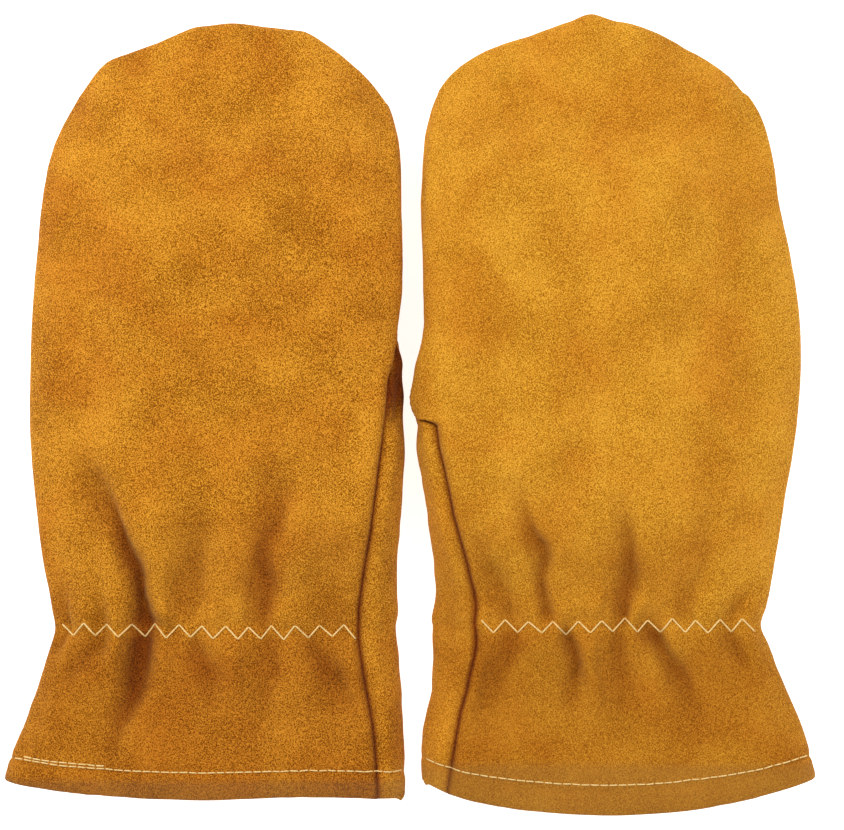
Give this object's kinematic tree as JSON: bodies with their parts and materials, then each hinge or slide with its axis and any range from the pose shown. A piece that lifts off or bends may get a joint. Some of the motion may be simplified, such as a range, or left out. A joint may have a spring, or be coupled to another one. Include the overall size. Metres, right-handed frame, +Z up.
{
  "type": "beekeeping mittens",
  "caption": "Pair of suede leather mittens with thumb sleeves, elastic-gathered wrists and flared open cuffs, lying palm down.",
  "frame": {"origin": "on the surface that the pair lies on, under the middle of its bounding box", "axes": "+X across the pair, from the left mitten to the right; +Y to the fingertips; +Z up, out of the backs of the hands"},
  "size_m": [0.3038, 0.2978, 0.0376],
  "materials": {
    "hand_suede": "matte tan suede with a short nap",
    "cuff_suede": "matte brown-tan suede with a short nap",
    "thread": "cream cotton sewing thread",
    "elastic": "off-white woven elastic tape"
  },
  "bodies": {
    "left_hand": {"left_back_hand": "hand_suede", "left_palm_hand": "hand_suede", "left_elastic_tape": "elastic", "left_zigzag_thread": "thread", "left_outer_hand_thread": "thread", "left_inner_hand_thread": "thread"},
    "left_cuff": {"left_back_cuff": "cuff_suede", "left_palm_cuff": "cuff_suede", "left_hem_thread": "thread", "left_outer_cuff_thread": "thread", "left_inner_cuff_thread": "thread"},
    "left_fingers": {"left_back_fingers": "hand_suede", "left_palm_fingers": "hand_suede", "left_finger_thread": "thread"},
    "left_thumb": {"left_thumb_top": "hand_suede", "left_thumb_bottom": "hand_suede", "left_thumb_seam_thread": "thread", "left_thumb_base_thread": "thread"},
    "right_hand": {"right_back_hand": "hand_suede", "right_palm_hand": "hand_suede", "right_elastic_tape": "elastic", "right_zigzag_thread": "thread", "right_outer_hand_thread": "thread", "right_inner_hand_thread": "thread"},
    "right_cuff": {"right_back_cuff": "cuff_suede", "right_palm_cuff": "cuff_suede", "right_hem_thread": "thread", "right_outer_cuff_thread": "thread", "right_inner_cuff_thread": "thread"},
    "right_fingers": {"right_back_fingers": "hand_suede", "right_palm_fingers": "hand_suede", "right_finger_thread": "thread"},
    "right_thumb": {"right_thumb_top": "hand_suede", "right_thumb_bottom": "hand_suede", "right_thumb_seam_thread": "thread", "right_thumb_base_thread": "thread"}
  },
  "joints": [
    {"name": "left_cuff_fold", "type": "hinge", "parent": "left_hand", "child": "left_cuff", "pos_m": [-0.07, -0.0939, 0.0222], "axis": [-1, 0, 0], "range_deg": [0, 60]},
    {"name": "left_finger_fold", "type": "hinge", "parent": "left_hand", "child": "left_fingers", "pos_m": [-0.07, 0.0271, 0.0378], "axis": [1, 0, 0], "range_deg": [0, 45]},
    {"name": "left_thumb_swing", "type": "hinge", "parent": "left_hand", "child": "left_thumb", "pos_m": [-0.03185, 0.0001, 0.0055], "axis": [0, 0, 1], "range_deg": [-8, 30]},
    {"name": "right_mitten_away", "type": "slide", "parent": "left_hand", "child": "right_hand", "axis": [1, 0, 0], "range_m": [0, 0.15]},
    {"name": "right_cuff_fold", "type": "hinge", "parent": "right_hand", "child": "right_cuff", "pos_m": [0.07, -0.0939, 0.0222], "axis": [-1, 0, 0], "range_deg": [0, 60]},
    {"name": "right_finger_fold", "type": "hinge", "parent": "right_hand", "child": "right_fingers", "pos_m": [0.07, 0.0271, 0.0378], "axis": [1, 0, 0], "range_deg": [0, 45]},
    {"name": "right_thumb_swing", "type": "hinge", "parent": "right_hand", "child": "right_thumb", "pos_m": [0.03065, 0.0051, 0.0055], "axis": [0, 0, -1], "range_deg": [-8, 30]}
  ]
}
